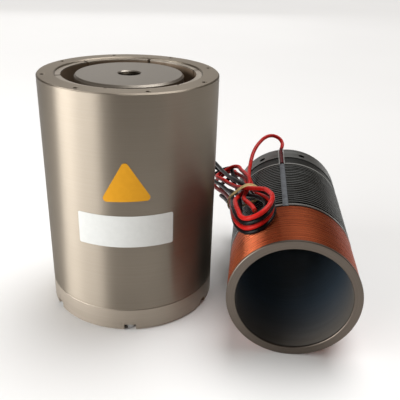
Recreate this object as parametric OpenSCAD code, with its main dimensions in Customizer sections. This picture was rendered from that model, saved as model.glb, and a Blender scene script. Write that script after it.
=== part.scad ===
// Cylindrical voice coil motor: an upright magnet stator with a ring-shaped air gap,
// and its moving coil drawn out of the gap and laid on its side next to it.
// The stator stands on z = 0 with its axis on Z. The coil lies along Y, open end towards -Y.

/* [Stator] */
// Outer diameter of the sleeve and the base
stator_d = 87; // [80:0.5:100]
// Height from the underside of the base to the rim
stator_h = 120.5; // [110:0.5:140]
// Radial wall of the sleeve
sleeve_wall = 8.5; // [7.5:0.1:9.5]
// Height of the base plate below the seam
base_h = 12; // [10:0.5:16]
// Height of the base's raised disc inside the sleeve
spigot_h = 3; // [2:0.5:6]
// Bevel on the outer edges
edge_bevel = 0.6; // [0.3:0.1:1.2]
// Bevel on each side of the seam between sleeve and base
seam_bevel = 0.25; // [0.1:0.05:0.6]

/* [Magnets] */
// Radial thickness of an arc magnet
magnet_t = 2.6; // [1.5:0.1:3.2]
// Arc magnets in one row
magnet_count = 6; // [4:1:12]
// Width of the joint between two arc magnets
magnet_joint = 1.4; // [0.3:0.1:2]
// Depth of the upper row below the rim
magnet_drop = 0.7; // [0.2:0.1:3]

/* [Core] */
// Diameter of the core
core_d = 52.6; // [46:0.2:53.2]
// Depth of the core's face below the rim
core_drop = 0.9; // [0:0.1:3]
// Bevel round the core's face
core_bevel = 0.9; // [0.3:0.1:2]
// Minor diameter of the tapped hole in the core's face
core_hole_d = 8.5; // [5:0.1:10.2]
// Diameter of that hole's bevelled mouth
core_hole_mouth_d = 11.8; // [10.6:0.2:14]
// Depth of that hole
core_hole_depth = 24; // [12:1:40]

/* [Rim holes] */
// Tapped holes in the rim
rim_hole_count = 8; // [4:1:12]
// Minor diameter of a rim hole
rim_hole_d = 2.5; // [2:0.1:3.3]
// Depth of a rim hole
rim_hole_depth = 9; // [5:0.5:15]
// Distance from a rim hole's centre to the outer surface
rim_hole_inset = 3; // [2.6:0.1:4]
// Direction of the first rim hole and of the first magnet joint
rim_turn = 24; // [0:1:45]

/* [Base fasteners] */
// Screws that hold the base to the sleeve
base_screw_count = 6; // [3:1:8]
// Distance from a base screw's axis to the outer surface
base_screw_inset = 4; // [3.6:0.1:5]
// Thread diameter of a base screw
base_screw_d = 3; // [2.5:0.5:3.5]
// Head diameter of a base screw
base_screw_head_d = 5.5; // [5:0.1:5.8]
// Head height of a base screw
base_screw_head_h = 3; // [2:0.1:4]
// Length of a base screw below its head
base_screw_l = 16; // [12:1:24]
// Direction of the first base screw
base_turn = 39.5; // [0:0.5:60]
// Screws that hold the core to the base
core_screw_count = 4; // [3:1:6]
// Pitch circle of the core screws
core_screw_pcd = 32; // [24:1:38]
// Thread diameter of a core screw
core_screw_d = 5; // [4:0.5:6]
// Head diameter of a core screw
core_screw_head_d = 8.5; // [7:0.1:10]
// Head height of a core screw
core_screw_head_h = 5; // [4:0.1:6]
// Length of a core screw below its head
core_screw_l = 22; // [18:1:30]
// Diameter of the pins that locate the core
dowel_d = 4; // [3:0.5:5]
// Length of those pins
dowel_l = 14; // [10:1:18]
// Tapped mounting holes in the underside
mount_hole_count = 4; // [3:1:6]
// Pitch circle of the mounting holes
mount_hole_pcd = 61; // [57:1:66]
// Minor diameter of a mounting hole
mount_hole_d = 4.2; // [3.3:0.1:5]
// Depth of a mounting hole
mount_hole_depth = 10; // [6:0.5:12]

/* [Coil] */
// Outer diameter of the coil
coil_od = 62.2; // [60:0.2:63.4]
// Radial wall of the coil
coil_wall = 4.2; // [3.6:0.1:4.5]
// Wall of the former tube
former_wall = 1.4; // [0.8:0.1:1.8]
// Clear way between stator and coil where they lie
coil_gap = 10.8; // [6:0.2:30]
// Place of the coil's open end along Y
coil_front = -50; // [-80:1:-20]
// Thickness of the ring on the open end
end_ring_t = 1.2; // [0.6:0.1:3]
// Length of the copper winding
winding_l = 34.6; // [20:0.2:44]
// Thickness of the insulation under the winding
insulation_t = 0.2; // [0.1:0.05:0.4]
// How far the winding lies below the coil's outer diameter
winding_drop = 0.15; // [0:0.05:0.5]
// Length of the flange behind the winding, with its neck
stop_t = 2.9; // [2:0.1:4]
// Length of the flange's neck
stop_neck = 1.1; // [0.6:0.1:1.6]
// Depth of the neck below the flange's rim
neck_depth = 1; // [0.4:0.1:1.4]

/* [Cooling fins] */
// Fins on the sleeve
fin_count = 21; // [10:1:24]
// Distance from one fin to the next
fin_pitch = 2.45; // [2.2:0.05:2.8]
// Width of a fin at its tip
fin_tip = 1.1; // [0.6:0.1:1.4]
// How much wider a fin is at its root, on each side
fin_flare = 0.15; // [0.05:0.05:0.3]
// Depth of the grooves between fins
groove_depth = 1.2; // [0.5:0.1:1.6]

/* [Coil rear] */
// Length of the collar behind the fins
collar_l = 11.1; // [8:0.1:16]
// Length of the collar's raised lip
collar_lip = 2; // [1:0.1:4]
// How far the collar lies below its lip
collar_drop = 0.4; // [0.1:0.1:0.8]
// Length of the cap
cap_l = 14.3; // [12:0.1:20]
// Depth of the socket that takes the former tube
cap_socket = 2; // [1:0.1:3]
// Thickness of the cap's end wall
cap_end_t = 6; // [3:0.1:6.4]
// Bevel on the cap's rear edge
cap_bevel = 0.8; // [0.3:0.1:1.5]
// Vent holes round the cap
vent_count = 8; // [4:1:8]
// Diameter of a vent hole
vent_d = 3.8; // [2:0.1:4]
// Distance from the cap's front edge to the vent holes
vent_setback = 4.8; // [4.2:0.1:5.4]
// Direction of the first vent hole
vent_turn = 77; // [70:1:80]
// Tapped holes for the load in the cap's rear face
load_hole_count = 6; // [3:1:8]
// Pitch circle of the load holes
load_hole_pcd = 40; // [28:1:46]
// Minor diameter of a load hole
load_hole_d = 3.3; // [2.5:0.1:4.2]
// Centring bore in the cap's rear face
load_bore_d = 12; // [6:0.5:20]

/* [Leads] */
// Outer diameter of a lead
lead_d = 2.3; // [1.6:0.1:2.4]
// Direction of the red lead's channel round the coil
red_turn = 100; // [96:1:104]
// Direction of the black lead's channel round the coil
black_turn = 190; // [186:1:194]
// Depth of a lead channel below the coil's outer diameter
channel_depth = 2.2; // [1.4:0.1:2.2]
// Side wall of a lead guide
guide_wall = 0.5; // [0.3:0.1:0.8]
// Floor of a lead guide
guide_floor = 0.3; // [0.2:0.1:0.5]
// Width of the lead sleeving
sleeving_w = 2.8; // [2:0.1:3.2]
// How far the lead sleeving stands out of the fins
sleeving_rise = 0.2; // [0:0.1:0.4]
// Thickness of the tied lead hank
hank_t = 10; // [6:0.5:12]
// Width of the hank's end loops
hank_w = 21; // [16:0.5:24]
// Width of the hank under the rubber band
waist_w = 18; // [10:0.5:20]
// Width of the rubber band
band_w = 1.6; // [1:0.1:4]
// Thickness of the rubber band
band_t = 0.8; // [0.4:0.1:1]

/* [Hidden] */

// Smoothness of round forms, and a little more than nothing for clean cuts
$fn = 128;
hair = 0.5;
// Clearance of bonded and pressed fits, and of screws in their holes
fit = 0.05;
screw_clear = 0.1;
// Depth of a tapped hole past its screw
screw_spare = 2;

// Stator: radii and heights
stator_r = stator_d / 2;
sleeve_bore_r = stator_r - sleeve_wall;
floor_z = base_h + spigot_h;
magnet_out_r = sleeve_bore_r - fit;
magnet_in_r = magnet_out_r - magnet_t;
magnet_rows = 3;
magnet_l = (stator_h - magnet_drop - floor_z) / magnet_rows;
core_r = core_d / 2;
core_top = stator_h - core_drop;
rim_hole_r = stator_r - rim_hole_inset;
base_screw_r = stator_r - base_screw_inset;
slot_w = base_screw_head_d + 2 * screw_clear + 0.1;
slot_h = base_screw_head_h + 2 * screw_clear;
core_bore_d = core_screw_head_d + 4 * screw_clear;
core_bore_h = core_screw_head_h + 4 * screw_clear;
mount_turn = 45;
hex_share = 0.55;
hex_depth_share = 0.5;

// Coil: radii, and places along its axis from the open end
coil_r = coil_od / 2;
bore_r = coil_r - coil_wall;
former_r = bore_r + former_wall;
seat_r = former_r + fit;
coil_x = stator_r + coil_gap + coil_r;
stop_z = end_ring_t + winding_l;
fin_z = stop_z + stop_t;
collar_z = fin_z + (fin_count + 1) * fin_pitch;
cap_z = collar_z + collar_l;
coil_l = cap_z + cap_l;
channel_r = coil_r - channel_depth;
lead_r = lead_d / 2;
guide_w = lead_d + 2 * (fit + guide_wall);
guide_channel_w = guide_w + 2 * fit;
sleeving_channel_w = sleeving_w + 2 * fit;
lead_turns = [red_turn, black_turn];

// Lead hank: its plane leans on the coil's flank, its points are along the coil and down the flank
hank_turn = 120;
hank_clear = 0.3;
hank_gap = band_t + hank_clear;
run_share = 0.95;
hank_front = [[22.5, 2.5], [42, 7]];
hank_back = [[78, 17], [96, 24]];
hank_waist = [hank_front[1], hank_back[0]];
band_share = 0.3;

// Lead routes from the open end's centre: across, along the coil, up
red_route = [[-5.3, 94, 30], [-5.3, 106, 30], [-5.3, 117, 30], [-4.9, 120.6, 30.1], [-4.3, 123.6, 31],
    [-4.5, 126.2, 32.5], [-6.6, 127.8, 34.4], [-9.4, 127.7, 35.6], [-11.8, 126.6, 36.1], [-15, 124, 35.8],
    [-18.2, 119.6, 34.4], [-20.7, 114.6, 32.4], [-22.2, 110, 30.5], [-23.2, 104.6, 28.4], [-23.8, 98, 26.6],
    [-24.2, 91, 26.1], [-24.2, 84, 26.4], [-24.3, 80, 26.8]];
black_route = [[-30, 94, -5.3], [-30, 106, -5.3], [-30, 118, -5.3], [-30.1, 121.5, -5.2],
    [-30.9, 125.5, -3.6],
    [-32.9, 128, 0.4], [-35.9, 128.5, 5.9], [-39.4, 126.5, 11.4], [-42.6, 122, 16.1], [-44.7, 116.5, 19.5],
    [-45.7, 111, 21.2], [-45.7, 106, 22.2], [-45.2, 102, 23.1]];
lead_sides = 8;

// Shared shapes

// Ring of the given inner and outer radius from z0 to z1
module ring(r_in, r_out, z0, z1) {
    translate([0, 0, z0]) difference() {
        cylinder(r = r_out, h = z1 - z0);
        translate([0, 0, -hair]) cylinder(r = r_in, h = z1 - z0 + 2 * hair);
    }
}

// Copies round the Z axis
module around(count, turn) {
    for (i = [0 : count - 1]) rotate([0, 0, turn + i * 360 / count]) children();
}

// Puts a piece built along Z on the coil's axis where the coil lies
module on_coil() {
    translate([coil_x, coil_front, coil_r]) rotate([-90, 0, 0]) children();
}

// Turns a piece on the coil to a direction measured upwards from +X
module at_turn(angle) {
    rotate([0, 0, -angle]) children();
}

// Channel of the given width cut along the coil for each lead
module lead_channels(z0, z1, width) {
    for (turn = lead_turns)
        at_turn(turn) translate([channel_r, -width / 2, z0 - hair])
            cube([channel_depth + hair, width, z1 - z0 + 2 * hair]);
}

// Socket-head screw standing on its head's underside at z = 0, shank upwards
module cap_screw(d, head_d, head_h, l) {
    cylinder(d = d, h = l);
    difference() {
        translate([0, 0, -head_h]) cylinder(d = head_d, h = head_h);
        translate([0, 0, -head_h - hair])
            cylinder(d = head_d * hex_share, h = head_h * hex_depth_share + hair, $fn = 6);
    }
}

// Round tube along a route of points
function unit(v) = v / norm(v);
function heading(p, i) = unit(p[min(i + 1, len(p) - 1)] - p[max(i - 1, 0)]);
function sideways(p, i) = i == 0
    ? unit(cross(heading(p, 0), [1, 0, 1]))
    : let (s = sideways(p, i - 1), t = heading(p, i)) unit(s - (s * t) * t);
function tube_ring(p, i, r, n) = let (s = sideways(p, i), t = cross(heading(p, i), s))
    [for (k = [0 : n - 1]) p[i] + r * (cos(360 * k / n) * s + sin(360 * k / n) * t)];
function tube_wall(rings, n) = [for (i = [0 : rings - 2], k = [0 : n - 1])
    let (a = i * n + k, b = i * n + (k + 1) % n) each [[a, a + n, b], [b, a + n, b + n]]];
module tube(p, r, n) {
    points = [for (i = [0 : len(p) - 1]) each tube_ring(p, i, r, n)];
    last = (len(p) - 1) * n;
    near_end = [for (k = [0 : n - 1]) k];
    far_end = [for (k = [n - 1 : -1 : 0]) last + k];
    polyhedron(points, concat([near_end], tube_wall(len(p), n), [far_end]));
}

// Stator

// Turned steel sleeve with tapped holes in both ends
module stator_sleeve() {
    color("silver") difference() {
        rotate_extrude() polygon([
            [sleeve_bore_r, base_h], [stator_r - seam_bevel, base_h], [stator_r, base_h + seam_bevel],
            [stator_r, stator_h - edge_bevel], [stator_r - edge_bevel, stator_h],
            [sleeve_bore_r + edge_bevel, stator_h], [sleeve_bore_r, stator_h - edge_bevel]]);
        around(rim_hole_count, rim_turn) translate([rim_hole_r, 0, stator_h - rim_hole_depth])
            cylinder(d = rim_hole_d, h = rim_hole_depth + hair);
        around(base_screw_count, base_turn) translate([base_screw_r, 0, base_h - hair])
            cylinder(d = base_screw_d + 2 * screw_clear, h = slot_h + base_screw_l - base_h + screw_spare + hair);
    }
}

// One row of arc magnets bonded to the sleeve's wall, counted from the base
module magnet_row(row) {
    z0 = floor_z + row * magnet_l;
    color("gainsboro") difference() {
        ring(magnet_in_r, magnet_out_r, z0, z0 + magnet_l);
        around(magnet_count, rim_turn) translate([0, -magnet_joint / 2, z0 - hair])
            cube([stator_r, magnet_joint, magnet_l + 2 * hair]);
    }
}
module magnet_row_upper() magnet_row(2);
module magnet_row_middle() magnet_row(1);
module magnet_row_lower() magnet_row(0);

// Steel core with a tapped hole in its face
module core() {
    mouth_drop = (core_hole_mouth_d - core_hole_d) / 2;
    color("darkgray") difference() {
        rotate_extrude() polygon([
            [0, floor_z], [core_r - core_bevel, floor_z], [core_r, floor_z + core_bevel],
            [core_r, core_top - core_bevel], [core_r - core_bevel, core_top],
            [core_hole_mouth_d / 2, core_top], [core_hole_d / 2, core_top - mouth_drop],
            [core_hole_d / 2, core_top - core_hole_depth], [0, core_top - core_hole_depth]]);
        around(core_screw_count, 0) translate([core_screw_pcd / 2, 0, floor_z - hair])
            cylinder(d = core_screw_d + 2 * screw_clear,
                h = core_bore_h + core_screw_l - floor_z + screw_spare + hair);
        around(2, mount_turn) translate([core_screw_pcd / 2, 0, floor_z - hair])
            cylinder(d = dowel_d + 2 * fit, h = dowel_l / 2 + fit + hair);
    }
}

// Base plate with open slots for its screws, counterbores for the core screws and mounting holes
module base_plate() {
    color("silver") difference() {
        rotate_extrude() polygon([
            [0, 0], [stator_r - edge_bevel, 0], [stator_r, edge_bevel],
            [stator_r, base_h - seam_bevel], [stator_r - seam_bevel, base_h],
            [sleeve_bore_r - fit, base_h], [sleeve_bore_r - fit, floor_z], [0, floor_z]]);
        around(base_screw_count, base_turn) translate([base_screw_r, 0, -hair]) {
            cylinder(d = slot_w, h = slot_h + hair);
            translate([0, -slot_w / 2, 0]) cube([base_screw_inset + hair, slot_w, slot_h + hair]);
            cylinder(d = base_screw_d + 2 * screw_clear, h = base_h + 2 * hair);
        }
        around(core_screw_count, 0) translate([core_screw_pcd / 2, 0, -hair]) {
            cylinder(d = core_bore_d, h = core_bore_h + hair);
            cylinder(d = core_screw_d + 2 * screw_clear, h = floor_z + 2 * hair);
        }
        around(2, mount_turn) translate([core_screw_pcd / 2, 0, floor_z - dowel_l / 2 - fit])
            cylinder(d = dowel_d + 2 * fit, h = dowel_l / 2 + fit + hair);
        around(mount_hole_count, mount_turn) translate([mount_hole_pcd / 2, 0, -hair])
            cylinder(d = mount_hole_d, h = mount_hole_depth + hair);
    }
}

// Screws in the base's slots
module base_screws() {
    color("dimgray") around(base_screw_count, base_turn) translate([base_screw_r, 0, slot_h])
        cap_screw(base_screw_d, base_screw_head_d, base_screw_head_h, base_screw_l);
}

// Screws that pull the core down on the base
module core_screws() {
    color("dimgray") around(core_screw_count, 0) translate([core_screw_pcd / 2, 0, core_bore_h])
        cap_screw(core_screw_d, core_screw_head_d, core_screw_head_h, core_screw_l);
}

// Pins that locate the core on the base
module core_dowels() {
    color("lightgray") around(2, mount_turn) translate([core_screw_pcd / 2, 0, floor_z - dowel_l / 2])
        cylinder(d = dowel_d, h = dowel_l);
}

// Coil

// Thin tube that carries everything on the coil
module coil_former() {
    color("midnightblue") on_coil() ring(bore_r, former_r, end_ring_t, cap_z + cap_socket - fit);
}

// Ring that closes the open end
module end_ring() {
    round_r = min(end_ring_t, coil_r - former_r) / 4;
    color("rosybrown") on_coil() rotate_extrude() polygon([
        [bore_r + round_r, 0], [coil_r - round_r, 0], [coil_r, round_r],
        [coil_r, end_ring_t], [bore_r, end_ring_t], [bore_r, round_r]]);
}

// Insulation wrapped on the former under the winding
module winding_insulation() {
    color("orange") on_coil() ring(seat_r, seat_r + insulation_t, end_ring_t, stop_z);
}

// Copper winding
module copper_winding() {
    color("chocolate") on_coil() ring(seat_r + insulation_t + fit, coil_r - winding_drop, end_ring_t, stop_z);
}

// Flange behind the winding, with a narrow neck beside the wire
module winding_stop() {
    rim_z = stop_z + stop_neck;
    neck_r = coil_r - neck_depth;
    color("gray") on_coil() difference() {
        rotate_extrude() polygon([
            [seat_r, stop_z], [neck_r, stop_z], [neck_r, rim_z],
            [coil_r, rim_z], [coil_r, fin_z], [seat_r, fin_z]]);
        lead_channels(stop_z, fin_z, sleeving_channel_w);
    }
}

// Sleeve with turned cooling fins and a channel for each lead
module finned_sleeve() {
    root_r = coil_r - groove_depth;
    tip = fin_tip / 2;
    root = tip + fin_flare;
    fins = [for (i = [1 : fin_count]) let (z = fin_z + i * fin_pitch) each [
        [root_r, z - root], [coil_r, z - tip], [coil_r, z + tip], [root_r, z + root]]];
    color("darkslategray") on_coil() difference() {
        rotate_extrude() polygon(concat(
            [[seat_r, collar_z], [seat_r, fin_z], [root_r, fin_z]], fins, [[root_r, collar_z]]));
        lead_channels(fin_z, collar_z, sleeving_channel_w);
    }
}

// Smooth insulating collar with a raised lip
module collar() {
    color("black") on_coil() difference() {
        rotate_extrude() polygon([
            [seat_r, collar_z], [coil_r, collar_z], [coil_r, collar_z + collar_lip],
            [coil_r - collar_drop, collar_z + collar_lip], [coil_r - collar_drop, cap_z], [seat_r, cap_z]]);
        lead_channels(collar_z, cap_z, guide_channel_w);
    }
}

// Cap with vent holes, and the load's holes in its end wall
module rear_cap() {
    end_z = coil_l - cap_end_t;
    color("darkgray") on_coil() difference() {
        rotate_extrude() polygon([
            [seat_r, cap_z], [coil_r, cap_z], [coil_r, coil_l - cap_bevel], [coil_r - cap_bevel, coil_l],
            [load_bore_d / 2, coil_l], [load_bore_d / 2, end_z], [bore_r, end_z],
            [bore_r, cap_z + cap_socket], [seat_r, cap_z + cap_socket]]);
        for (i = [0 : vent_count - 1])
            at_turn(vent_turn + i * 360 / vent_count) translate([bore_r - 1, 0, cap_z + vent_setback])
                rotate([0, 90, 0]) cylinder(d = vent_d, h = coil_r - bore_r + 2);
        around(load_hole_count, 0) translate([load_hole_pcd / 2, 0, end_z - hair])
            cylinder(d = load_hole_d, h = cap_end_t + 2 * hair);
        lead_channels(cap_z, coil_l, guide_channel_w);
    }
}

// Grey sleeving over a lead's joint, laid in the channel through the fins
module lead_sleeving(turn) {
    top_r = coil_r + sleeving_rise;
    crown_r = sleeving_w;
    color("slategray") on_coil() at_turn(turn) translate([0, 0, stop_z + fit])
        linear_extrude(collar_z - stop_z - 2 * fit) intersection() {
            translate([channel_r + fit, -sleeving_w / 2]) square([crown_r, sleeving_w]);
            translate([top_r - crown_r, 0]) circle(r = crown_r);
        }
}
module red_lead_sleeving() lead_sleeving(red_turn);
module black_lead_sleeving() lead_sleeving(black_turn);

// Open guide that holds a lead's end in the collar and the cap
module lead_guide(turn) {
    color("lightgray") on_coil() at_turn(turn) translate([channel_r + fit, -guide_w / 2, collar_z])
        difference() {
            cube([channel_depth - fit, guide_w, coil_l - collar_z]);
            translate([guide_floor, guide_wall, -hair])
                cube([channel_depth, guide_w - 2 * guide_wall, coil_l - collar_z + 2 * hair]);
        }
}
module red_lead_guide() lead_guide(red_turn);
module black_lead_guide() lead_guide(black_turn);

// Leads

// Lead from its guide to the hank
module lead(route) {
    translate([coil_x, coil_front, coil_r]) tube(route, lead_r, lead_sides);
}
module red_lead() color("red") lead(red_route);
module black_lead() color("black") lead(black_route);

// Puts a piece on the hank's underside, X along the coil and Y down the flank
module on_hank() {
    translate([coil_x, coil_front, coil_r]) rotate([0, 90 - hank_turn, 0]) rotate([0, 0, 90])
        translate([0, 0, coil_r + hank_gap]) children();
}

// Outline of a straight run of the hank between two points
function run_angle(run) = atan2(run[1].y - run[0].y, run[1].x - run[0].x);
module straight_run(run, width) {
    translate(run[0]) rotate(run_angle(run)) translate([0, -width / 2])
        square([norm(run[1] - run[0]), width]);
}
module round_run(run, width) {
    straight_run(run, width * run_share);
    for (p = run) translate(p) circle(d = width);
}

// Outer shape of the two leads folded into a hank
module lead_hank() {
    color("firebrick") on_hank() linear_extrude(hank_t) {
        round_run(hank_front, hank_w);
        straight_run(hank_waist, waist_w);
        round_run(hank_back, hank_w);
    }
}

// Rubber band round the hank's waist
module rubber_band() {
    inner = [waist_w + 2 * fit, hank_t + 2 * fit];
    outer = inner + 2 * [band_t, band_t];
    color("darkkhaki") on_hank() translate(hank_waist[0] + band_share * (hank_waist[1] - hank_waist[0]))
        rotate(run_angle(hank_waist)) translate([-band_w / 2, 0, hank_t / 2]) rotate([90, 0, 90])
            linear_extrude(band_w) difference() {
                square(outer, center = true);
                square(inner, center = true);
            }
}

stator_sleeve();
magnet_row_upper();
magnet_row_middle();
magnet_row_lower();
core();
base_plate();
base_screws();
core_screws();
core_dowels();
coil_former();
end_ring();
winding_insulation();
copper_winding();
winding_stop();
finned_sleeve();
collar();
rear_cap();
red_lead_sleeving();
black_lead_sleeving();
red_lead_guide();
black_lead_guide();
red_lead();
black_lead();
lead_hank();
rubber_band();
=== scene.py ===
# %% [markdown]
# A voice coil motor, taken apart for a product picture
#
# The magnet stator stands upright and its moving coil lies beside it. The solid model is loaded first and
# stays as it is. This lesson adds a camera, two leads with their rubber band, the wire turns on the coil
# and two stickers. Then it gives every piece its finish and lights the whole. Sizes on the motor are given
# in millimetres, and mm turns them into Blender's metres.

# %% Load the solid model
import math
import bpy
from mathutils import Matrix, Vector


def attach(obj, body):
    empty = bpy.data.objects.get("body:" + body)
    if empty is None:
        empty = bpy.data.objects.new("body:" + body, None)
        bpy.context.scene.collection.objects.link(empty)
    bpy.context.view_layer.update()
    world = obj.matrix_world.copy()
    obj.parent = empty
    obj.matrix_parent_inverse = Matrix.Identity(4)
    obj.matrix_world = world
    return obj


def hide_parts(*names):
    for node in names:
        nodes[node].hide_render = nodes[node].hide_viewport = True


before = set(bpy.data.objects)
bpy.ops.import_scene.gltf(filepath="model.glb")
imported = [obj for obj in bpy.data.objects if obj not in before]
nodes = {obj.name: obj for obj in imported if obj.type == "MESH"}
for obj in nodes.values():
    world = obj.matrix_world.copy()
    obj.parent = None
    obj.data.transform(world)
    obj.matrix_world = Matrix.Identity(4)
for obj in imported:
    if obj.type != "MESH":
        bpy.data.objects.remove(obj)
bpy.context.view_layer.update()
mm = 0.001
print("nodes loaded:", len(nodes))

# %% [markdown]
# Camera
#
# The camera was fitted to the rim, the seam and the coil's edges in the picture, so it has an odd place
# and a little roll. A Track To constraint could aim it, but it leaves no roll. So the camera's axes are
# worked out from three angles and written into its matrix, column by column.

# %% Work out the camera's axes
pitch = math.radians(25.257)
yaw = math.radians(-5.061)
roll = math.radians(-2.026)
forward = Vector((math.sin(yaw) * math.cos(pitch), math.cos(yaw) * math.cos(pitch), -math.sin(pitch)))
level_right = Vector((math.cos(yaw), -math.sin(yaw), 0))
level_down = forward.cross(level_right)
camera_right = math.cos(roll) * level_right + math.sin(roll) * level_down
camera_down = math.cos(roll) * level_down - math.sin(roll) * level_right
axes = Matrix((camera_right, -camera_down, -forward)).transposed()
print("the camera looks along", [round(value, 3) for value in forward])

# %% Place the camera
photo_width = 400
focal_pixels = 546.0
sensor_width = 36
camera_place = (59.34 * mm, -259.45 * mm, 177.58 * mm)

bpy.ops.object.select_all(action="DESELECT")
bpy.ops.object.camera_add()
camera = bpy.context.object
camera.name = "photo_camera"
camera.data.sensor_width = sensor_width
camera.data.lens = sensor_width * focal_pixels / photo_width
camera.data.clip_start = 10 * mm
camera.matrix_world = Matrix.Translation(camera_place) @ axes.to_4x4()
bpy.context.scene.camera = camera
print("lens", round(camera.data.lens, 2), "mm")

# %% [markdown]
# Leads
#
# Two thin hook-up leads leave the coil's cap, and what is left of them is folded into a hank that a
# rubber band holds together. A simulated rope would settle in folds of its own, so each lead is one
# curve with a round bevel, and its points are listed. The first points are given on the coil:
# sideways, from the open end, and up from the axis. The hank's points are given on the coil's upper left
# side: along the coil, across it, and out from it.

# %% Two ways to give a point
coil_x = 85.4
coil_z = 31.1
coil_front = -50
hank_angle = math.radians(120)
hank_radius = 36.6
lead_d = 2.3


def on_coil(across, along, up):
    return Vector((coil_x + across, coil_front + along, coil_z + up)) * mm


def on_hank(along, across, out):
    from_axis = hank_radius + out
    x = coil_x + from_axis * math.cos(hank_angle) + across * math.sin(hank_angle)
    z = coil_z + from_axis * math.sin(hank_angle) - across * math.cos(hank_angle)
    return Vector((x, along, z)) * mm


print("the hank is measured from", [round(value, 4) for value in on_hank(0, 0, 0)])

# %% Where the red lead runs
red_arch = [
    (-5.3, 94, 30), (-5.3, 106, 30), (-5.3, 117, 30), (-4.9, 120.6, 30.1), (-4.3, 123.6, 30.9),
    (-4.4, 126.4, 32.2), (-6, 128.6, 33.8), (-8.9, 129.4, 35.1), (-12, 128.2, 35.7), (-15.2, 125.2, 35.4),
    (-18.2, 120.2, 34.2), (-20.7, 114.6, 32.4), (-22.2, 110, 30.5), (-23.2, 104.6, 28.4), (-23.8, 98, 26.6),
    (-24.2, 91, 26.1), (-24.2, 84, 26.4),
]
red_hank = [
    (27, -7.4, -1.3), (20, -6.3, -1.4), (14, -5.4, -1.6), (8, -4.2, -1.7), (2, -2.2, -1.7), (-5, 1, -1.5),
    (-12, 4, -1.4), (-19, 5.8, -1.4), (-25, 5.9, -1.4), (-30.7, 4.2, -1.4), (-34.1, 1.5, -1.4),
    (-35.4, -2.6, -1.4), (-34.1, -6.7, -1.4), (-30.7, -9.4, -1.4), (-24.5, -12.2, -1.4), (-16.5, -14.6, -1.4),
    (-7, -16.1, -1.4), (2, -17.2, -1.5), (8, -18.4, -1.8), (14, -20.1, -2), (23, -23.4, -2),
    (32.4, -27.8, -2), (41.7, -31, -1.9), (46.7, -30.3, -1.6), (49.9, -26.5, -1.2), (49.9, -21.5, -0.9),
    (46.7, -17.7, -0.6), (41.7, -16, -0.5), (35, -13.2, -0.3), (27.2, -10, -0.2),
    (16.6, -8.2, 0), (10, -8.8, 0.1), (4, -10.2, 0.6), (-2, -11.6, 2), (-8, -12, 3.4), (-15.2, -11, 4),
    (-24, -9.2, 4), (-31.8, -7.2, 4), (-35.8, -4.3, 4), (-37.1, -0.2, 4), (-35.8, 3.9, 4), (-32.4, 6.6, 4),
    (-27.5, 8.4, 4), (-22, 8.5, 4), (-16.8, 7, 4), (-12, 5, 4), (-7, 0.9, 4), (-1.7, -4, 4), (4.2, -8.8, 3.8),
    (8, -11.2, 3.4), (16.7, -16, 3.4), (26, -21.2, 4.8), (34.2, -25.2, 5), (39, -24.6, 4.1),
    (42.2, -21, 3.4), (42.2, -16, 3.6), (39, -12.3, 3.3), (34.2, -10.8, 2.8), (25.5, -7.8, 2.4),
    (14.8, -5.2, 2), (8, -6.4, 0.9), (3, -8, 0.5), (-2, -8.6, 0.7),
    (-7, -7.8, 1.2), (-12.5, -5.7, 1.6), (-20, -3, 1.6), (-25.3, -1.7, 1.6),
]
red_route = [on_coil(*point) for point in red_arch] + [on_hank(*point) for point in red_hank]
print("red lead:", len(red_route), "points")

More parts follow.
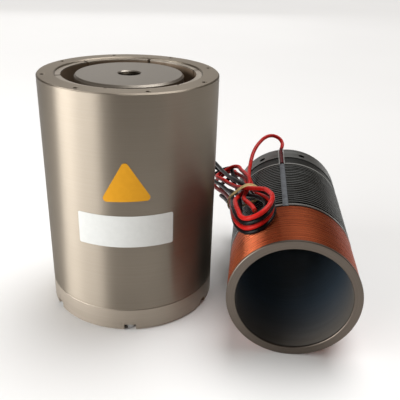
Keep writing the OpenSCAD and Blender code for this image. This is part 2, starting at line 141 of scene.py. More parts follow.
# %% Where the black lead runs
black_loop = [
    (-30, 94, -5.3), (-30, 106, -5.3), (-30, 118, -5.3), (-30.1, 121.5, -5.2), (-30.9, 125.5, -3.6),
    (-32.9, 128, 0.4), (-36.6, 129, 4.6), (-42, 128.8, 8.4), (-47.4, 126.4, 12.6), (-51.4, 121.8, 16.8),
    (-52.8, 115.6, 20.6), (-51, 109.4, 23.6),
]
black_hank = [
    (54, -28, 8.4), (46, -24.6, 6.8), (36, -21, 5.8), (24, -16.4, 5.2), (15, -12, 4.7), (8, -8.2, 3.7),
    (3, -5, 2.8), (-2, -1, 1.9), (-8, 3.2, 1.4), (-14, 6.2, 1.3), (-20, 7.6, 1.3), (-26, 7.6, 1.3),
    (-31.4, 6, 1.3), (-35, 3.2, 1.3), (-36.3, -1, 1.3), (-35, -5.2, 1.3), (-31.4, -8, 1.3),
    (-26, -10.2, 1.3), (-20, -12, 1.3), (-11, -13.9, 1.3), (-2, -15, 1), (5.8, -15.8, 0.6), (11, -17, 0.5),
    (19, -20.2, 0.7), (28, -24, 1.3), (36, -28.2, 1.9), (42, -31, 2.2), (46.7, -30.4, 2.2),
    (49.8, -26.7, 2), (49.8, -21.9, 1.8), (46.7, -18.3, 1.7), (42, -17.6, 1.2), (36, -16.8, 0.5),
    (30, -14.8, -0.2), (24, -12.6, -0.8),
    (17, -10.6, -1.4), (10, -9.8, -2.5), (4, -7, -2.3), (-3, -2.8, -1.2), (-9, 0.2, -1), (-14.5, 2.3, -1),
    (-19.4, 2.8, -1), (-23.2, 0.9, -1), (-25, -3.2, -1), (-24, -7.4, -1), (-20.6, -10, -1), (-11, -11.2, -1),
    (0.4, -12.1, -1), (8, -13.5, -1.1), (14, -15.6, -1.6), (22, -19.2, -2.3), (30, -23.6, -2.9),
    (37.2, -27, -3.2), (41.9, -26.4, -3.2), (44.9, -22.8, -3.2), (44.9, -18, -3.2), (41.9, -14.4, -3.1),
    (37.2, -13.2, -3), (30, -10.8, -2.9), (22, -8.6, -3.2), (16, -7.4, -3.6),
    (8, -5.2, -4), (0, -1.8, -4.1), (-8, 2.4, -4.1), (-15, 5, -4.1), (-22.6, 5.8, -4.1), (-29.3, 4, -4.1),
    (-33.2, 1, -4.1), (-34.6, -3.2, -4.1), (-33.3, -7.4, -4.1), (-29.7, -10.4, -4.1), (-23.4, -13.4, -4.1),
    (-15, -15.8, -4.1), (-6, -17.3, -4), (3, -18.6, -4), (9, -20, -4.2), (14.9, -21.8, -4.4),
    (21, -24, -4.6), (28, -27, -4.6),
]
black_route = [on_coil(*point) for point in black_loop] + [on_hank(*point) for point in black_hank]
print("black lead:", len(black_route), "points")


# %% Draw both leads
def draw_lead(name, route):
    line = bpy.data.curves.new(name, "CURVE")
    line.dimensions = "3D"
    line.resolution_u = 6
    line.bevel_depth = 1
    line.bevel_resolution = 4
    line.use_fill_caps = True
    spline = line.splines.new("BEZIER")
    spline.bezier_points.add(len(route) - 1)
    for knot, place in zip(spline.bezier_points, route):
        knot.co = place
        knot.radius = lead_d / 2 * mm
        knot.handle_left_type = "AUTO"
        knot.handle_right_type = "AUTO"
    lead = bpy.data.objects.new(name, line)
    bpy.context.collection.objects.link(lead)
    return lead


red_lead = draw_lead("red_lead_wire", red_route)
black_lead = draw_lead("black_lead_wire", black_route)
print("leads drawn:", red_lead.name, black_lead.name)

# %% [markdown]
# Bare ends
#
# The free ends are cut off bluntly, so a little of the stranded copper shows. A texture could draw the
# strands, but they would lie flat on the cut. So one strand is a thin rod with bevelled edges, which is
# copied until six lie in a ring and one in their middle. They are joined and turned to point along the
# end of the lead.

# %% Model one strand
strand_r = 0.2
strand_l = 2.4
strand_bevel = 0.06
strand_sides = 10


def first_strand(place):
    bpy.ops.object.select_all(action="DESELECT")
    bpy.ops.mesh.primitive_cylinder_add(
        vertices=strand_sides, radius=strand_r * mm, depth=strand_l * mm, location=place)
    bpy.ops.object.mode_set(mode="EDIT")
    bpy.ops.mesh.select_all(action="SELECT")
    bpy.ops.mesh.bevel(offset=strand_bevel * mm, segments=2, affect="EDGES")
    bpy.ops.object.mode_set(mode="OBJECT")


# %% Copy it into a bundle
strand_shift = 0.4
strand_ring = 6
strand_crease = math.radians(40)


def strand_bundle(name, route):
    tip = route[-1]
    heading = (route[-1] - route[-2]).normalized()
    strands = []
    for turn in range(strand_ring + 1):
        angle = 2 * math.pi * turn / strand_ring
        from_middle = 2 * strand_r * mm if turn < strand_ring else 0
        side = Vector((math.cos(angle) * from_middle, math.sin(angle) * from_middle, strand_shift * mm))
        if not strands:
            first_strand(side)
        else:
            bpy.ops.object.duplicate()
            bpy.context.object.location = side
        strands.append(bpy.context.object)
    for strand in strands:
        strand.select_set(True)
    bpy.ops.object.join()
    bundle = bpy.context.object
    bundle.name = name
    bpy.ops.object.transform_apply(location=True, rotation=True, scale=True)
    bundle.matrix_world = Matrix.Translation(tip) @ heading.to_track_quat("Z", "Y").to_matrix().to_4x4()
    bpy.ops.object.transform_apply(location=True, rotation=True, scale=True)
    bpy.ops.object.shade_smooth_by_angle(angle=strand_crease)
    return bundle


red_strands = strand_bundle("red_lead_strands", red_route)
black_strands = strand_bundle("black_lead_strands", black_route)
print("bare ends:", len(red_strands.data.vertices), "vertices each")

# %% Let the leads ride on the coil
for piece, slot in ((red_lead, "red_wire"), (black_lead, "black_wire"),
                    (red_strands, "copper"), (black_strands, "copper")):
    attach(piece, "coil")
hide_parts("red_lead", "lead_hank")
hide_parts("black_lead")
print("cords on the coil:", red_lead.name, black_lead.name)

# %% [markdown]
# Rubber band
#
# A thin natural rubber band goes round the waist of the hank twice. Cloth could be shrunk on the strands,
# but a few listed points give the same shape on every run. Each turn starts as a circle, whose points
# are pulled to the outline of the strands. The edge is extruded along the hank into a strip, which a
# Solidify modifier thickens and a subdivision rounds. The second turn lies a little skew on the first.

# %% Wrap two turns of the band
band_w = 1.8
band_t = 0.5
band_levels = 3
waist_middle = -10
waist_r = 10
waist = [
    (3, -20, -4.4), (3, -19, -1.2), (1.6, -16.6, 1.9), (0.6, -13, 3.3), (0.4, -9.4, 4.5), (0.6, -6, 5.4),
    (2.2, -3.6, 4.4), (4, -1.8, 2), (4.6, -0.9, -0.6), (4.2, -0.6, -3.2), (3.8, -1.8, -4.9), (3.4, -5, -5.2),
    (3, -10, -5.3), (3, -15, -5.5), (3, -18.6, -5.4),
]


def band_turn(name, start, skew, grow):
    bpy.ops.object.select_all(action="DESELECT")
    bpy.ops.mesh.primitive_circle_add(vertices=len(waist), radius=waist_r * mm)
    turn = bpy.context.object
    turn.name = name
    for corner, (along, across, out) in zip(turn.data.vertices, waist):
        slant = skew * (across - waist_middle)
        corner.co = on_hank(start + along + slant, across * (1 + grow), out * (1 + grow))
    bpy.ops.object.mode_set(mode="EDIT")
    bpy.ops.mesh.select_all(action="SELECT")
    bpy.ops.mesh.extrude_edges_move(TRANSFORM_OT_translate={"value": (0, band_w * mm, 0)})
    bpy.ops.mesh.select_all(action="SELECT")
    bpy.ops.mesh.normals_make_consistent(inside=False)
    bpy.ops.object.mode_set(mode="OBJECT")
    thickness = turn.modifiers.new("thickness", "SOLIDIFY")
    thickness.thickness = band_t * mm
    thickness.offset = 1
    rounding = turn.modifiers.new("rounding", "SUBSURF")
    rounding.levels = band_levels
    rounding.render_levels = band_levels
    bpy.ops.object.modifier_apply(modifier=thickness.name)
    bpy.ops.object.modifier_apply(modifier=rounding.name)
    bpy.ops.object.shade_smooth()
    return turn


first_turn = band_turn("band_first_turn", start=-1.4, skew=-0.2, grow=0)
second_turn = band_turn("band_second_turn", start=0, skew=-0.14, grow=0.03)
first_turn.select_set(True)
second_turn.select_set(True)
bpy.context.view_layer.objects.active = first_turn
bpy.ops.object.join()
band = bpy.context.object
band.name = "rubber_band_turns"
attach(band, "coil")
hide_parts("rubber_band")
print("rubber band:", len(band.data.polygons), "faces")

# %% [markdown]
# Copper winding
#
# The coil is wound with enamelled wire, whose outer layer shows, and resin has nearly filled the grooves.
# A bump could draw the turns, but real grooves catch the light as wire does. The section of one turn is a
# square with bevelled corners, stretched towards the axis so that the flanks of a groove are steep. A
# Screw modifier turns it round the coil's axis and moves it one wire on with each turn, which gives a
# true helix.

# %% Section of one turn
wire_d = 0.5
wire_bevel = 0.08
wire_stretch = 1.6
winding_r = 30.95

bpy.ops.object.select_all(action="DESELECT")
bpy.ops.mesh.primitive_plane_add(size=wire_d * mm)
winding = bpy.context.object
winding.name = "copper_wire_turns"
bpy.ops.object.mode_set(mode="EDIT")
bpy.ops.mesh.select_all(action="SELECT")
bpy.ops.mesh.bevel(offset=wire_bevel * mm, segments=1, affect="VERTICES")
bpy.ops.transform.resize(value=(wire_stretch, 1, 1))
bpy.ops.transform.translate(value=((winding_r - wire_stretch * wire_d / 2) * mm, 0, 0))
bpy.ops.object.mode_set(mode="OBJECT")
print("wire section:", len(winding.data.vertices), "corners")

# %% Wind the wire
winding_start = 1.2
winding_l = 34.6
turns = int(winding_l / wire_d) - 1
steps_per_turn = 120
crease = math.radians(30)

winding.location = (coil_x * mm, (coil_front + winding_start + wire_d / 2) * mm, coil_z * mm)
sweep = winding.modifiers.new("sweep", "SCREW")
sweep.axis = "Y"
sweep.angle = 2 * math.pi
sweep.screw_offset = wire_d * mm
sweep.iterations = turns
sweep.steps = steps_per_turn
sweep.render_steps = steps_per_turn
bpy.ops.object.modifier_apply(modifier=sweep.name)
bpy.ops.object.transform_apply(location=True, rotation=True, scale=True)
bpy.ops.object.mode_set(mode="EDIT")
bpy.ops.mesh.select_all(action="SELECT")
bpy.ops.mesh.normals_make_consistent(inside=False)
bpy.ops.object.mode_set(mode="OBJECT")
bpy.ops.object.shade_smooth_by_angle(angle=crease)
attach(winding, "coil")
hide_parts("copper_winding")
print("winding:", turns, "turns,", len(winding.data.polygons), "faces")

# %% [markdown]
# Stickers
#
# A white label and an amber triangle are stuck on the sleeve, and both are plain. A flat patch could be
# bent with Shrinkwrap, but that stretches it. So each is cut out of a thin cylinder that fits over the
# sleeve: every edge of its outline becomes one plane of a bisect, which throws away what lies outside.
# The corners are short edges on a small arc.

# %% Round the corners of an outline
corner_steps = 5


def rounded(corners, radius):
    outline = []
    for index, (arc, height) in enumerate(corners):
        before = Vector(corners[index - 1])
        here = Vector((arc, height))
        after = Vector(corners[(index + 1) % len(corners)])
        first = math.atan2(before.x - here.x, here.y - before.y)
        last = math.atan2(here.x - after.x, after.y - here.y)
        sweep_angle = (last - first) % (2 * math.pi)
        for step in range(corner_steps + 1):
            angle = first + sweep_angle * step / corner_steps
            outline.append((arc + radius * math.cos(angle), height + radius * math.sin(angle)))
    return outline


# %% Put a thin cylinder over the sleeve
sleeve_r = 43.5
sleeve_facets = 360
sticker_lift = 0.01
cut_room = 2


def thin_cylinder(name, low, high):
    bpy.ops.object.select_all(action="DESELECT")
    bpy.ops.mesh.primitive_cylinder_add(
        vertices=sleeve_facets, radius=(sleeve_r + sticker_lift) * mm, depth=(high - low + cut_room) * mm,
        location=(0, 0, (high + low) / 2 * mm), end_fill_type="NOTHING")
    bpy.context.object.name = name
    bpy.ops.object.transform_apply(location=True, rotation=True, scale=True)
    return bpy.context.object


# %% Cut it to an outline
def cut_to(outline):
    middle = sum(arc for arc, height in outline) / len(outline) / sleeve_r
    outward = Vector((math.cos(middle), math.sin(middle), 0))
    bpy.ops.object.mode_set(mode="EDIT")
    bpy.ops.mesh.select_all(action="SELECT")
    bpy.ops.mesh.bisect(plane_co=(0, 0, 0), plane_no=outward, clear_inner=True)
    for (arc_a, height_a), (arc_b, height_b) in zip(outline, outline[1:] + outline[:1]):
        turn = (arc_a + arc_b) / 2 / sleeve_r
        radial = Vector((math.cos(turn), math.sin(turn), 0))
        tangent = Vector((-math.sin(turn), math.cos(turn), 0))
        place = radial * sleeve_r + Vector((0, 0, (height_a + height_b) / 2))
        edge = tangent * (arc_b - arc_a) + Vector((0, 0, height_b - height_a))
        bpy.ops.mesh.select_all(action="SELECT")
        bpy.ops.mesh.bisect(plane_co=place * mm, plane_no=edge.cross(radial).normalized(), clear_outer=True)
    bpy.ops.mesh.select_all(action="SELECT")
    bpy.ops.mesh.normals_make_consistent(inside=False)
    bpy.ops.object.mode_set(mode="OBJECT")


# %% Make a sticker of it
sticker_t = 0.12


def sticker(name, outline):
    heights = [height for arc, height in outline]
    patch = thin_cylinder(name, min(heights), max(heights))
    cut_to(outline)
    thickness = patch.modifiers.new("thickness", "SOLIDIFY")
    thickness.thickness = sticker_t * mm
    thickness.offset = 1
    bpy.ops.object.modifier_apply(modifier=thickness.name)
    bpy.ops.object.shade_smooth_by_angle(angle=crease)
    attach(patch, "stator")
    print(name, len(patch.data.polygons), "faces")


# %% Stick both on the sleeve
def arc_at(degrees):
    return math.radians(degrees) * sleeve_r


label_r = 0.8
label_left = arc_at(-112) + label_r
label_right = arc_at(-51.7) - label_r
label_low = 47.9 + label_r
label_high = 64 - label_r
label_corners = [
    (label_left, label_low), (label_right, label_low), (label_right, label_high), (label_left, label_high),
]
sticker("blank_label", rounded(label_corners, label_r))

triangle_r = 1.7
triangle_left = (arc_at(-94.6) + triangle_r, 71.1 + triangle_r)
triangle_right = (arc_at(-66.3) - triangle_r, 71.6 + triangle_r)
triangle_tip = (arc_at(-81), 89.9 - triangle_r)
sticker("amber_triangle", rounded([triangle_left, triangle_right, triangle_tip], triangle_r))


# %% [markdown]
# Finishes
#
# Every finish is a Principled shader. What is the same all over a piece is set on the shader itself. What
# varies, such as colour, roughness and bump, comes from noise on object coordinates, so the grain has a
# real size in metres. Image textures could do the same, but noise needs no file and leaves no seam. A few
# helpers keep the node trees short.

# %% A finish and its nodes
def shader_of(material):
    return material.node_tree.nodes["Principled BSDF"]


def set_inputs(node, values):
    for name, value in values.items():
        node.inputs[name.replace("_", " ")].default_value = value


def finish(name, **values):
    material = bpy.data.materials.new(name)
    material.use_nodes = True
    set_inputs(shader_of(material), values)
    return material


def add(owner, kind, **values):
    node = owner.node_tree.nodes.new(kind)
    set_inputs(node, values)
    return node


def link(owner, source, target):
    owner.node_tree.links.new(source, target)


def drive(material, socket, source):
    link(material, source, shader_of(material).inputs[socket])


# %% Noise of a given size
def stretched(material, scale=(1, 1, 1), location=(0, 0, 0)):
    origin = add(material, "ShaderNodeTexCoord")
    mapping = add(material, "ShaderNodeMapping", Location=location, Scale=scale)
    link(material, origin.outputs["Object"], mapping.inputs["Vector"])
    return mapping.outputs["Vector"]


def noise(material, vector, scale, detail):
    texture = add(material, "ShaderNodeTexNoise", Scale=scale, Detail=detail)
    link(material, vector, texture.inputs["Vector"])
    return texture.outputs["Fac"]


def clouds(material, scale, detail):
    return noise(material, stretched(material), scale, detail)


def streaks(material, squeeze, detail):
    return noise(material, stretched(material, squeeze), scale=1, detail=detail)


# %% What a pattern changes
noise_low = 0.3
noise_high = 0.7


def ramp(material, value, start, end, low=0, high=1):
    slope = add(material, "ShaderNodeMapRange", From_Min=start, From_Max=end, To_Min=low, To_Max=high)
    link(material, value, slope.inputs["Value"])
    return slope.outputs["Result"]


def shades(material, value, dark, light, start=noise_low, end=noise_high):
    colours = add(material, "ShaderNodeValToRGB")
    first, last = colours.color_ramp.elements
    first.position = start
    first.color = (*dark, 1)
    last.position = end
    last.color = (*light, 1)
    link(material, value, colours.inputs["Fac"])
    return colours.outputs["Color"]


def tint(material, value, dark, light):
    drive(material, "Base Color", shades(material, value, dark, light))


def roughen(material, value, smooth, rough):
    drive(material, "Roughness", ramp(material, value, noise_low, noise_high, smooth, rough))


def relief(material, value, strength, depth):
    bump = add(material, "ShaderNodeBump", Strength=strength, Distance=depth)
    link(material, value, bump.inputs["Height"])
    drive(material, "Normal", bump.outputs["Normal"])


# %% Dress pieces in a finish
def dress(material, *names):
    for name in names:
        target = nodes[name] if name in nodes else bpy.data.objects[name]
        if not target.material_slots:
            target.data.materials.append(material)
        for holder in target.material_slots:
            holder.material = material
    print(material.name, "on", ", ".join(names))


# %% [markdown]
# Turned steel
#
# The stator's sleeve and base are turned on a lathe and nickel plated, so fine lines run round them and
# draw the highlights out. Grooves that fine could be modelled only with millions of faces. So noise is
# squeezed along Z into lines, and an anisotropic sheen with a tangent round the axis does the rest. The
# rim's top is ground flat, so the sheen nearly ends there.

# %% Lines from the lathe
def lathe_sheen(material, axis):
    quarter_turn = 0.25
    set_inputs(shader_of(material), {"Anisotropic Rotation": quarter_turn})
    way = add(material, "ShaderNodeTangent")
    way.direction_type = "RADIAL"
    way.axis = axis
    drive(material, "Tangent", way.outputs["Tangent"])


def coordinate(material, axis):
    parts = add(material, "ShaderNodeSeparateXYZ")
    link(material, stretched(material), parts.inputs["Vector"])
    return parts.outputs[axis]


# %% Sleeve
rim_top = 120.5
ground_from = rim_top - 0.2
ground_to = rim_top - 0.05

plated = finish("turned_plated_steel", Metallic=1, Specular_Tint=(0.72, 0.72, 0.72, 1))
lines = streaks(plated, squeeze=(14, 14, 2600), detail=3)
tint(plated, lines, dark=(0.345, 0.299, 0.242), light=(0.375, 0.327, 0.268))
roughen(plated, lines, smooth=0.42, rough=0.5)
relief(plated, lines, strength=0.05, depth=0.03 * mm)
sheen = ramp(plated, coordinate(plated, "Z"), ground_from * mm, ground_to * mm, low=0.95, high=0.1)
drive(plated, "Anisotropic", sheen)
lathe_sheen(plated, "Z")
dress(plated, "stator_sleeve")

# %% Base
base_steel = finish("satin_base_steel", Metallic=1, Anisotropic=0.5)
lines = streaks(base_steel, squeeze=(14, 14, 2200), detail=3)
tint(base_steel, lines, dark=(0.4, 0.348, 0.29), light=(0.45, 0.395, 0.33))
roughen(base_steel, lines, smooth=0.48, rough=0.58)
relief(base_steel, lines, strength=0.1, depth=0.03 * mm)
lathe_sheen(base_steel, "Z")
dress(base_steel, "base_plate")

# %% [markdown]
# Core, magnets and screws
#
# The core's face shows rings from the lathe, the nickel plated magnets a bright upper edge over a wall
# darkened by painted shade, and the screws are zinc plated. A Wave texture could make rings, but they
# would be too even. So a node measures the distance from the axis, and noise is read along it. The same
# distance paints shade into the threaded hole in the core, and the height tells a magnet's edge from its
# wall, whose darker, browner colour and lower metallic are painted shade.

# %% Rings round an axis
# Coordinates that are scaled by zero don't count, so this is the distance from a point, an axis or a plane.
def reach(material, location, flatten):
    length = add(material, "ShaderNodeVectorMath")
    length.operation = "LENGTH"
    link(material, stretched(material, flatten, location), length.inputs[0])
    return length.outputs["Value"]


def rings(material, distance, scale):
    spot = add(material, "ShaderNodeCombineXYZ")
    link(material, distance, spot.inputs["X"])
    return noise(material, spot.outputs["Vector"], scale, detail=2)


# %% Blend two colours
# A Mix node has several sockets of the same name, so those for colours are picked by number.
mix_first = 6
mix_second = 7
mix_result = 2


def blend(material, factor, first, second):
    either = add(material, "ShaderNodeMix")
    either.data_type = "RGBA"
    link(material, factor, either.inputs["Factor"])
    link(material, first, either.inputs[mix_first])
    link(material, second, either.inputs[mix_second])
    return either.outputs[mix_result]


# %% Core
thread_r = 5.4
thread_edge = 0.1

core_steel = finish("satin_core_steel", Metallic=1)
from_axis = reach(core_steel, (0, 0, 0), (1, 1, 0))
marks = rings(core_steel, from_axis, scale=1800)
face = shades(core_steel, marks, dark=(0.31, 0.28, 0.24), light=(0.36, 0.325, 0.28))
# Near-black shades in the threaded hole are painted shade.
hole_painted_shade = shades(core_steel, marks, dark=(0.02, 0.016, 0.012), light=(0.035, 0.028, 0.02))
outside = ramp(core_steel, from_axis, (thread_r - thread_edge) * mm, (thread_r + thread_edge) * mm)
drive(core_steel, "Base Color", blend(core_steel, outside, hole_painted_shade, face))
roughen(core_steel, marks, smooth=0.3, rough=0.42)
relief(core_steel, marks, strength=0.15, depth=0.03 * mm)
dress(core_steel, "core")

# %% Magnets
magnet_top = 119.8
edge_from = magnet_top - 0.8
edge_to = magnet_top - 0.2
shaded_wall_metal = 0.4

magnet = finish("nickel_plated_magnet")
patches = clouds(magnet, scale=300, detail=3)
upper_edge = shades(magnet, patches, dark=(0.46, 0.41, 0.345), light=(0.52, 0.47, 0.4))
# The wall below the edge is darker, browner and less metallic: painted shade.
wall_painted_shade = shades(magnet, patches, dark=(0.26, 0.19, 0.13), light=(0.32, 0.235, 0.165))
near_top = ramp(magnet, coordinate(magnet, "Z"), edge_from * mm, edge_to * mm)
drive(magnet, "Base Color", blend(magnet, near_top, wall_painted_shade, upper_edge))
drive(magnet, "Metallic", ramp(magnet, near_top, 0, 1, low=shaded_wall_metal, high=1))
roughen(magnet, patches, smooth=0.38, rough=0.46)
relief(magnet, patches, strength=0.03, depth=0.05 * mm)
dress(magnet, "magnet_row_upper", "magnet_row_middle", "magnet_row_lower")

# %% Screws and dowels
screw_steel = finish("zinc_screw_steel", Metallic=1)
patches = clouds(screw_steel, scale=1500, detail=3)
tint(screw_steel, patches, dark=(0.42, 0.42, 0.43), light=(0.56, 0.56, 0.55))
roughen(screw_steel, patches, smooth=0.28, rough=0.45)
dress(screw_steel, "base_screws", "core_screws", "core_dowels")

# %% [markdown]
# Ring, flange, cap and collar
#
# The end ring, the flange and the cap are satin metal, and the collar is a dark band whose front lip
# has a painted highlight. The ring turns its face to the camera, so it gets rings round the coil's axis.
# The others show their round sides, so their noise is squeezed along the coil into lines. The lip could
# be a piece of its own, but the place along the coil is enough to paint the highlight on it.

# %% End ring
coil_axis = (-coil_x * mm, 0, -coil_z * mm)
across_coil = (1, 0, 1)

ring_metal = finish("satin_end_ring", Metallic=1)
marks = rings(ring_metal, reach(ring_metal, coil_axis, across_coil), scale=2400)
tint(ring_metal, marks, dark=(0.12, 0.1, 0.083), light=(0.165, 0.138, 0.115))
roughen(ring_metal, marks, smooth=0.36, rough=0.5)
relief(ring_metal, marks, strength=0.15, depth=0.03 * mm)
dress(ring_metal, "end_ring")

# %% Flange and cap
flange = finish("satin_flange", Metallic=1)
lines = streaks(flange, squeeze=(60, 3000, 60), detail=2)
tint(flange, lines, dark=(0.25, 0.25, 0.245), light=(0.33, 0.33, 0.32))
roughen(flange, lines, smooth=0.28, rough=0.42)
dress(flange, "winding_stop")

cap_metal = finish("satin_cap", Metallic=1)
lines = streaks(cap_metal, squeeze=(40, 1600, 40), detail=3)
tint(cap_metal, lines, dark=(0.14, 0.145, 0.14), light=(0.19, 0.195, 0.19))
roughen(cap_metal, lines, smooth=0.34, rough=0.48)
relief(cap_metal, lines, strength=0.1, depth=0.04 * mm)
dress(cap_metal, "rear_cap")

# %% Collar
highlight_until = 43.6
dark_from = 44.4

collar_finish = finish("dark_satin_collar", Metallic=0.2, Specular_IOR_Level=0.15)
lines = streaks(collar_finish, squeeze=(50, 1400, 50), detail=3)
# The light shade on the front lip is a painted highlight.
painted_lip_highlight = ramp(collar_finish, coordinate(collar_finish, "Y"), dark_from * mm, highlight_until * mm)
dark_with_painted_highlight = shades(collar_finish, painted_lip_highlight, (0.012, 0.013, 0.012), (0.24, 0.24, 0.23), start=0, end=1)
drive(collar_finish, "Base Color", dark_with_painted_highlight)
roughen(collar_finish, lines, smooth=0.34, rough=0.5)
relief(collar_finish, lines, strength=0.08, depth=0.04 * mm)
dress(collar_finish, "collar")

# %% [markdown]
# Fins
#
# The fins are dark anodised, and their crests catch the light, which is painted on as a lighter colour, a
# painted highlight. An edge mask could be painted by hand, but the distance from the coil's axis already
# tells crest from groove. So a ramp of that distance, broken by noise, paints the highlight on the crest
# lines all round.

# %% Dark fins with painted highlights on the crests
crest_from = 30.85
crest_to = 31.1

fin_finish = finish("dark_anodised_fins", Metallic=0.7)
# The lighter crests are a painted highlight.
crest_highlight = ramp(fin_finish, reach(fin_finish, coil_axis, across_coil), crest_from * mm, crest_to * mm)
streak_noise = streaks(fin_finish, squeeze=(90, 500, 90), detail=3)
broken_highlight = add(fin_finish, "ShaderNodeMath")
broken_highlight.operation = "MULTIPLY"
link(fin_finish, crest_highlight, broken_highlight.inputs[0])
link(fin_finish, ramp(fin_finish, streak_noise, noise_low, noise_high, low=0.55, high=1), broken_highlight.inputs[1])
groove_and_painted_crest = shades(
    fin_finish, broken_highlight.outputs["Value"], (0.008, 0.009, 0.009), (0.12, 0.124, 0.12), start=0, end=1)
drive(fin_finish, "Base Color", groove_and_painted_crest)
roughen(fin_finish, streak_noise, smooth=0.3, rough=0.46)
dress(fin_finish, "finned_sleeve")

# %% [markdown]
# Inside of the coil
#
# The tube inside the coil is lacquered dark. Through the open end it looks warm at its mouth and bluer
# further in: the warm shades at the mouth are painted light and the bluer ones deeper in a painted
# reflection. One colour would look flat there. So two pairs of shades are blended by the distance from
# the open end. An amber film lies between this tube and the winding, which hides it.

# %% Dark lacquer and amber film
mouth_end = 4
deep_start = 34

former = finish("dark_lacquered_former", Metallic=0.2, Specular_IOR_Level=0.8)
lines = streaks(former, squeeze=(30, 900, 30), detail=3)
# The warm mouth shades are painted light, the bluer deep shades a painted reflection.
mouth_painted_light = shades(former, lines, dark=(0.118, 0.106, 0.093), light=(0.148, 0.134, 0.118))
deep_painted_reflection = shades(former, lines, dark=(0.085, 0.118, 0.155), light=(0.11, 0.15, 0.195))
from_open_end = reach(former, (0, -coil_front * mm, 0), (0, 1, 0))
inwards = ramp(former, from_open_end, mouth_end * mm, deep_start * mm)
drive(former, "Base Color", blend(former, inwards, mouth_painted_light, deep_painted_reflection))
roughen(former, lines, smooth=0.32, rough=0.42)
relief(former, lines, strength=0.02, depth=0.04 * mm)
dress(former, "coil_former")

film = finish("amber_film", Roughness=0.3)
patches = clouds(film, scale=300, detail=2)
tint(film, patches, dark=(0.5, 0.27, 0.05), light=(0.65, 0.4, 0.1))
dress(film, "winding_insulation")

# %% [markdown]
# Enamelled copper
#
# The wire's enamel is clear and a little brown, so the copper is less than a full metal. A plain gloss
# would make round spots of the lights. The turns draw them out along the coil, so the finish has a sheen
# with a tangent round the coil, as the steel has. The same finish goes on the strands at the leads' ends.

# %% Copper
copper = finish("enamelled_copper_wire", Metallic=0.82, Specular_Tint=(0.6, 0.45, 0.45, 1), Anisotropic=0.6)
lines = streaks(copper, squeeze=(8, 1800, 8), detail=2)
tint(copper, lines, dark=(0.38, 0.082, 0.034), light=(0.5, 0.125, 0.046))
roughen(copper, lines, smooth=0.26, rough=0.3)
lathe_sheen(copper, "Y")
dress(copper, "copper_winding", "copper_wire_turns", "red_lead_strands", "black_lead_strands")

# %% [markdown]
# Sheaths, sleeving and rubber
#
# The leads have a soft plastic sheath with a slight ripple, and the sleeving, the guides and the band are
# plastic and rubber with the same kind of surface. So one function makes them all from two shades and a
# roughness. In its guide the red lead is darkened to maroon, a painted shade of the channel, which a second
# material could give, but a blend by the distance from there leaves no hard line.

# %% Soft plastic
ripple_scale = 420
ripple_detail = 3


def sheath(name, dark, light, roughness, bump=0.1, **values):
    material = finish(name, **values)
    ripple = clouds(material, ripple_scale, ripple_detail)
    tint(material, ripple, dark, light)
    roughen(material, ripple, smooth=roughness - 0.05, rough=roughness + 0.1)
    relief(material, ripple, bump, depth=0.2 * mm)
    return material


# %% Red lead
guide_middle = on_coil(-5.3, 106, 30)
guide_shade_to = 12
red_from = 16

red_sheath = sheath("red_lead_sheath", (0.43, 0.011, 0.009), (0.54, 0.017, 0.013), roughness=0.3,
                    Specular_IOR_Level=0.13)
red = shader_of(red_sheath).inputs["Base Color"].links[0].from_socket
ripple = clouds(red_sheath, ripple_scale, ripple_detail)
# Near its guide the lead is darkened to maroon: painted shade of the channel.
guide_painted_shade = shades(red_sheath, ripple, dark=(0.05, 0.004, 0.006), light=(0.1, 0.007, 0.01))
from_guide = reach(red_sheath, -guide_middle, (1, 1, 1))
clear_of_guide = ramp(red_sheath, from_guide, guide_shade_to * mm, red_from * mm)
drive(red_sheath, "Base Color", blend(red_sheath, clear_of_guide, guide_painted_shade, red))
dress(red_sheath, "red_lead", "lead_hank", "red_lead_wire")

# %% Black lead, sleeving, guides and band
black_sheath = sheath("black_lead_sheath", (0.003, 0.003, 0.004), (0.007, 0.008, 0.009), roughness=0.3,
                      Specular_IOR_Level=0.18)
dress(black_sheath, "black_lead", "black_lead_wire")
grey_sleeving = sheath("grey_sleeving", (0.045, 0.052, 0.062), (0.12, 0.13, 0.145), roughness=0.5)
dress(grey_sleeving, "red_lead_sleeving", "black_lead_sleeving")
light_guide = sheath("light_guide", (0.2, 0.2, 0.195), (0.3, 0.3, 0.29), roughness=0.4)
dress(light_guide, "red_lead_guide", "black_lead_guide")
rubber = sheath("natural_rubber", (0.42, 0.28, 0.1), (0.6, 0.43, 0.18), roughness=0.5)
dress(rubber, "rubber_band", "rubber_band_turns")

# %% [markdown]
# Sticker films
#
# Both stickers are thin plastic film with a soft gloss. A flat colour would look painted on, so they get
# the ripple of the sheaths, with close shades and hardly any bump.

# %% White and amber film
white_film = sheath("white_label_film", (0.66, 0.67, 0.65), (0.69, 0.7, 0.68), roughness=0.4, bump=0.01,
                    Specular_IOR_Level=0.3)
dress(white_film, "blank_label")
amber_film = sheath("amber_sticker_film", (0.66, 0.3, 0.01), (0.7, 0.325, 0.014), roughness=0.4, bump=0.01,
                    Specular_IOR_Level=0.15)
dress(amber_film, "amber_triangle")

# %% [markdown]
# Studio
#
# The motor stands on a plain pale floor. Two soft boxes at the left make the bright stripes down the
# sleeve, and two at the back brighten the rims. A picture of a room could light it all at once, but with
# boxes each stripe can be moved by itself. The lights' places and sizes are in metres.

# %% Floor
floor_size = 60

bpy.ops.object.select_all(action="DESELECT")
bpy.ops.mesh.primitive_plane_add(size=floor_size)
floor = bpy.context.object
floor.name = "pale_floor"
floor_finish = finish("pale_floor", Roughness=0.7)
patches = clouds(floor_finish, scale=3, detail=2)
tint(floor_finish, patches, dark=(0.85, 0.85, 0.845), light=(0.87, 0.87, 0.865))
dress(floor_finish, "pale_floor")


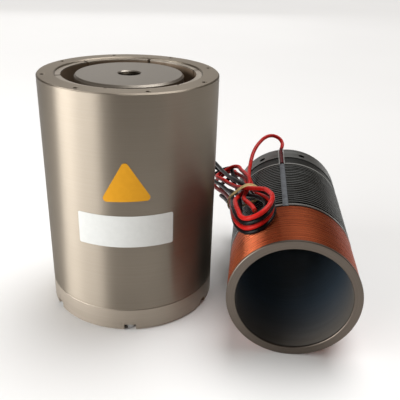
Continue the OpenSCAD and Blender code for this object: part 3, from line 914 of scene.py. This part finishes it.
# %% A soft box
def soft_box(name, place, aim, width, height, power):
    bpy.ops.object.light_add(type="AREA", location=place)
    lamp = bpy.context.object
    lamp.name = name
    lamp.data.shape = "RECTANGLE"
    lamp.data.size = width
    lamp.data.size_y = height
    lamp.data.energy = power
    lamp.rotation_euler = (Vector(aim) - Vector(place)).to_track_quat("-Z", "Y").to_euler()
    print(name, "at", [round(value, 2) for value in place])
    return lamp


box_distance = 0.95


def around(azimuth, height):
    turn = math.radians(azimuth)
    return (box_distance * math.cos(turn), box_distance * math.sin(turn), height)


# %% Boxes at the left and at the back
stator_middle = (0, 0, 0.06)
stator_top = (0, 0, 0.12)
left_box = soft_box(
    "left_box", around(-161, height=0.3), stator_middle, width=0.42, height=0.55, power=5.6)
front_left_box = soft_box(
    "front_left_box", around(-132, height=0.3), stator_middle, width=0.6, height=0.55, power=5.3)
soft_box("back_box", (-0.35, 1.2, 0.35), stator_middle, width=1.2, height=0.4, power=0.8)
soft_box("high_back_box", (-0.5, 1.2, 0.72), stator_top, width=0.5, height=0.3, power=0.15)

# %% [markdown]
# Glint on the copper
#
# The copper has one narrow glint at its left, but the two left boxes are wide for the sleeve's sake and
# would smear it. Light linking gives each its own light: the two left boxes leave the copper out, and a
# narrow box shines on the copper alone.

# %% Link the lights
copper_pieces = ("copper_winding", "copper_wire_turns")


def link_to_copper(lamp, state):
    receivers = bpy.data.collections.new(lamp.name + "_receivers")
    for name in copper_pieces:
        receivers.objects.link(bpy.data.objects[name])
    for item in receivers.collection_objects:
        item.light_linking.link_state = state
    lamp.light_linking.receiver_collection = receivers
    print(lamp.name, state.lower(), "copper")


winding_middle = (0.07, -0.03, 0.05)
glint_box = soft_box(
    "glint_box", around(-129, height=0.36), winding_middle, width=0.14, height=0.5, power=3.9)
link_to_copper(left_box, "EXCLUDE")
link_to_copper(front_left_box, "EXCLUDE")
link_to_copper(glint_box, "INCLUDE")

# %% [markdown]
# Ceiling
#
# Soft light comes from above and a little from behind, as from a bright ceiling. A very large soft box
# could give it, but its light falls off with the distance. A sun with a wide angle lights all pieces alike.

# %% Light from above
above = Vector((0.17, 0.3, 0.94))
bpy.ops.object.light_add(type="SUN")
sun = bpy.context.object
sun.name = "ceiling_light"
sun.data.energy = 2.75
sun.data.angle = math.radians(42)
sun.rotation_euler = above.to_track_quat("Z", "Y").to_euler()
print("ceiling light", sun.data.energy)

# %% [markdown]
# Dark card
#
# Metal looks like what it mirrors, and the sleeve's dark stripe is the mirror image of something dark
# before it. A studio puts up a black card for that. This one is seen in mirror images only: it hides
# nothing from the camera and throws no shadow.

# %% Card behind the camera
card_place = (0.19, -0.3, 0.195)
card_size = (0.5, 0.34, 1)

bpy.ops.object.select_all(action="DESELECT")
bpy.ops.mesh.primitive_plane_add(size=1, location=card_place, rotation=(math.radians(90), 0, 0))
card = bpy.context.object
card.name = "dark_card"
card.scale = card_size
bpy.ops.object.transform_apply(location=True, rotation=True, scale=True)
card.visible_camera = False
card.visible_diffuse = False
card.visible_shadow = False
card_finish = finish("dark_card", Roughness=0.9)
patches = clouds(card_finish, scale=20, detail=2)
tint(card_finish, patches, dark=(0.04, 0.024, 0.014), light=(0.06, 0.037, 0.022))
dress(card_finish, "dark_card")

# %% [markdown]
# Room
#
# A dim warm room fills the shadows. The camera is to see a pale backdrop instead, so a Light Path node
# picks the backdrop for its rays and the room for all others. The Standard view keeps the colours as they
# were set.

# %% Room and backdrop
world = bpy.data.worlds.new("soft_room")
world.use_nodes = True
room = world.node_tree.nodes["Background"]
set_inputs(room, {"Color": (0.95, 0.82, 0.7, 1), "Strength": 0.14})
backdrop = add(world, "ShaderNodeBackground", Color=(0.94, 0.925, 0.91, 1))
rays = add(world, "ShaderNodeLightPath")
surroundings = add(world, "ShaderNodeMixShader")
link(world, rays.outputs["Is Camera Ray"], surroundings.inputs[0])
link(world, room.outputs["Background"], surroundings.inputs[1])
link(world, backdrop.outputs["Background"], surroundings.inputs[2])
link(world, surroundings.outputs[0], world.node_tree.nodes["World Output"].inputs["Surface"])
bpy.context.scene.world = world
bpy.context.scene.view_settings.view_transform = "Standard"
print("room and backdrop:", len(world.node_tree.nodes), "nodes")
